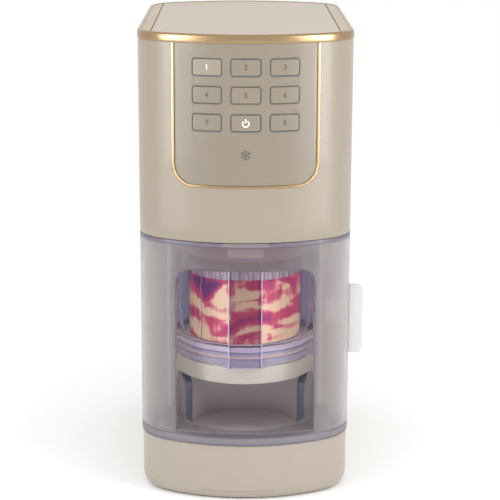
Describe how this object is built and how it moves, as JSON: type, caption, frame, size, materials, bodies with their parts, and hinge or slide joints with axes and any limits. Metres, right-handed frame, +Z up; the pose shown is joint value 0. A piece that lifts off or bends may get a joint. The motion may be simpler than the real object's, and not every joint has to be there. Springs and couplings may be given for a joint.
{
  "type": "ice cream maker",
  "caption": "Tall countertop ice cream maker with a keyed head, a swinging clear door, and a lifting platform that carries a lidded bowl of frozen mix up to a driven blade.",
  "frame": {"origin": "on the worktop, under the middle of the bounding box", "axes": "+Z up, -Y towards the user, +X to the user's right"},
  "size_m": [0.1926, 0.3142, 0.3985],
  "materials": {
    "shell": "satin",
    "light_shell": "satin",
    "gold": "polished",
    "clear": "clear plastic",
    "frosted": "frosted",
    "dark": "satin",
    "rubber": "matt",
    "steel": "satin",
    "rotor": "matt",
    "brass": "satin",
    "gear_plastic": "satin",
    "board": "satin",
    "mix": "soft"
  },
  "bodies": {
    "housing": {"base_shell": "shell", "base_cover": "dark", "foot_front_left": "rubber", "foot_front_right": "rubber", "foot_rear_left": "rubber", "foot_rear_right": "rubber", "well_liner": "dark", "column_shell": "shell", "service_cover": "shell", "chamber_liner": "light_shell", "cord_gland": "rubber", "head_shell": "shell", "head_floor": "light_shell", "vent_grille": "shell", "gold_rim": "gold", "top_deck": "light_shell", "control_panel": "shell", "panel_trim": "gold", "key_board": "board", "hinge_pin_lower": "steel", "hinge_pin_upper": "steel", "door_catch": "dark", "lift_motor": "steel", "lift_frame": "steel", "feed_motor": "dark", "drive_frame": "steel", "motor_housing": "steel", "power_board": "board"},
    "key_top_left": {"key_top_left": "shell"},
    "key_top_centre": {"key_top_centre": "shell"},
    "key_top_right": {"key_top_right": "shell"},
    "key_middle_left": {"key_middle_left": "shell"},
    "key_middle_centre": {"key_middle_centre": "shell"},
    "key_middle_right": {"key_middle_right": "shell"},
    "key_bottom_left": {"key_bottom_left": "shell"},
    "key_bottom_centre": {"key_bottom_centre": "shell"},
    "key_bottom_right": {"key_bottom_right": "shell"},
    "door": {"door_shell": "frosted", "door_window": "clear", "door_handle": "clear"},
    "lift_carriage": {"lift_cradle": "shell", "lift_bracket": "steel", "platform": "light_shell"},
    "lift_screw_set": {"lift_screw": "steel", "lift_gear": "gear_plastic"},
    "lift_pinion": {"lift_pinion": "brass"},
    "bowl": {"outer_bowl": "clear", "tub": "clear", "frozen_mix": "mix"},
    "lid": {"bowl_lid": "light_shell", "lid_seal": "rubber"},
    "lid_bush": {"lid_bush": "steel"},
    "blade": {"blade": "steel"},
    "feed_carriage": {"feed_carriage": "gear_plastic"},
    "spindle": {"spindle": "steel"},
    "feed_screw": {"feed_screw": "steel"},
    "drive_gear": {"drive_gear": "gear_plastic"},
    "rotor": {"motor_rotor": "rotor", "motor_pinion": "brass", "motor_fan": "gear_plastic"}
  },
  "joints": [
    {"name": "key_top_left_press", "type": "slide", "parent": "housing", "child": "key_top_left", "axis": [0, 1, 0], "range_m": [0, 0.0008], "stiffness_N_per_m": 700, "springref_m": -0.0012},
    {"name": "key_top_centre_press", "type": "slide", "parent": "housing", "child": "key_top_centre", "axis": [0, 1, 0], "range_m": [0, 0.0008], "stiffness_N_per_m": 700, "springref_m": -0.0012},
    {"name": "key_top_right_press", "type": "slide", "parent": "housing", "child": "key_top_right", "axis": [0, 1, 0], "range_m": [0, 0.0008], "stiffness_N_per_m": 700, "springref_m": -0.0012},
    {"name": "key_middle_left_press", "type": "slide", "parent": "housing", "child": "key_middle_left", "axis": [0, 1, 0], "range_m": [0, 0.0008], "stiffness_N_per_m": 700, "springref_m": -0.0012},
    {"name": "key_middle_centre_press", "type": "slide", "parent": "housing", "child": "key_middle_centre", "axis": [0, 1, 0], "range_m": [0, 0.0008], "stiffness_N_per_m": 700, "springref_m": -0.0012},
    {"name": "key_middle_right_press", "type": "slide", "parent": "housing", "child": "key_middle_right", "axis": [0, 1, 0], "range_m": [0, 0.0008], "stiffness_N_per_m": 700, "springref_m": -0.0012},
    {"name": "key_bottom_left_press", "type": "slide", "parent": "housing", "child": "key_bottom_left", "axis": [0, 1, 0], "range_m": [0, 0.0008], "stiffness_N_per_m": 700, "springref_m": -0.0012},
    {"name": "key_bottom_centre_press", "type": "slide", "parent": "housing", "child": "key_bottom_centre", "axis": [0, 1, 0], "range_m": [0, 0.0008], "stiffness_N_per_m": 700, "springref_m": -0.0012},
    {"name": "key_bottom_right_press", "type": "slide", "parent": "housing", "child": "key_bottom_right", "axis": [0, 1, 0], "range_m": [0, 0.0008], "stiffness_N_per_m": 700, "springref_m": -0.0012},
    {"name": "door_hinge", "type": "hinge", "parent": "housing", "child": "door", "pos_m": [-0.08985, -0.0783, 0.138], "axis": [0, 0, 1], "range_deg": [-100, 0]},
    {"name": "lift_slide", "type": "slide", "parent": "housing", "child": "lift_carriage", "axis": [0, 0, 1], "range_m": [-0.02, 0]},
    {"name": "lift_screw_turn", "type": "hinge", "parent": "housing", "child": "lift_screw_set", "pos_m": [-0.00585, 0.0097, 0.1], "axis": [0, 0, 1], "range_deg": [-905, 5]},
    {"name": "lift_pinion_turn", "type": "hinge", "parent": "housing", "child": "lift_pinion", "pos_m": [0.02115, 0.0097, 0.134], "axis": [0, 0, 1], "range_deg": [-5, 1810]},
    {"name": "bowl_twist", "type": "hinge", "parent": "lift_carriage", "child": "bowl", "pos_m": [-0.00585, -0.0783, 0.13], "axis": [0, 0, 1], "range_deg": [-30, 0]},
    {"name": "lid_twist", "type": "hinge", "parent": "bowl", "child": "lid", "pos_m": [-0.00585, -0.0783, 0.215], "axis": [0, 0, 1], "range_deg": [0, 25]},
    {"name": "lid_bush_turn", "type": "hinge", "parent": "lid", "child": "lid_bush", "pos_m": [-0.00585, -0.0783, 0.225], "axis": [0, 0, 1], "continuous": true},
    {"name": "blade_feed", "type": "slide", "parent": "lid_bush", "child": "blade", "axis": [0, 0, 1], "range_m": [-0.0625, 0.0005], "deforming": ["frozen_mix"]},
    {"name": "feed_slide", "type": "slide", "parent": "housing", "child": "feed_carriage", "axis": [0, 0, 1], "range_m": [-0.062, 0]},
    {"name": "spindle_turn", "type": "hinge", "parent": "feed_carriage", "child": "spindle", "pos_m": [-0.00585, -0.0783, 0.3], "axis": [0, 0, 1], "continuous": true},
    {"name": "feed_screw_turn", "type": "hinge", "parent": "housing", "child": "feed_screw", "pos_m": [0.02015, -0.0783, 0.32], "axis": [0, 0, 1], "range_deg": [-2795, 5]},
    {"name": "drive_gear_turn", "type": "hinge", "parent": "housing", "child": "drive_gear", "pos_m": [-0.00585, -0.0783, 0.251], "axis": [0, 0, 1], "continuous": true},
    {"name": "motor_turn", "type": "hinge", "parent": "housing", "child": "rotor", "pos_m": [-0.00585, -0.01705, 0.3], "axis": [0, 0, 1], "continuous": true}
  ],
  "couplings": [
    {"joint": "lift_screw_turn", "follows": "lift_slide", "rad_per_m": 785.4},
    {"joint": "lift_pinion_turn", "follows": "lift_slide", "rad_per_m": -1570.8},
    {"joint": "blade_feed", "follows": "feed_slide", "ratio": 1},
    {"joint": "feed_screw_turn", "follows": "feed_slide", "rad_per_m": 785.4},
    {"joint": "drive_gear_turn", "follows": "motor_turn", "ratio": -0.36111},
    {"joint": "spindle_turn", "follows": "motor_turn", "ratio": -0.36111},
    {"joint": "lid_bush_turn", "follows": "motor_turn", "ratio": -0.36111}
  ]
}
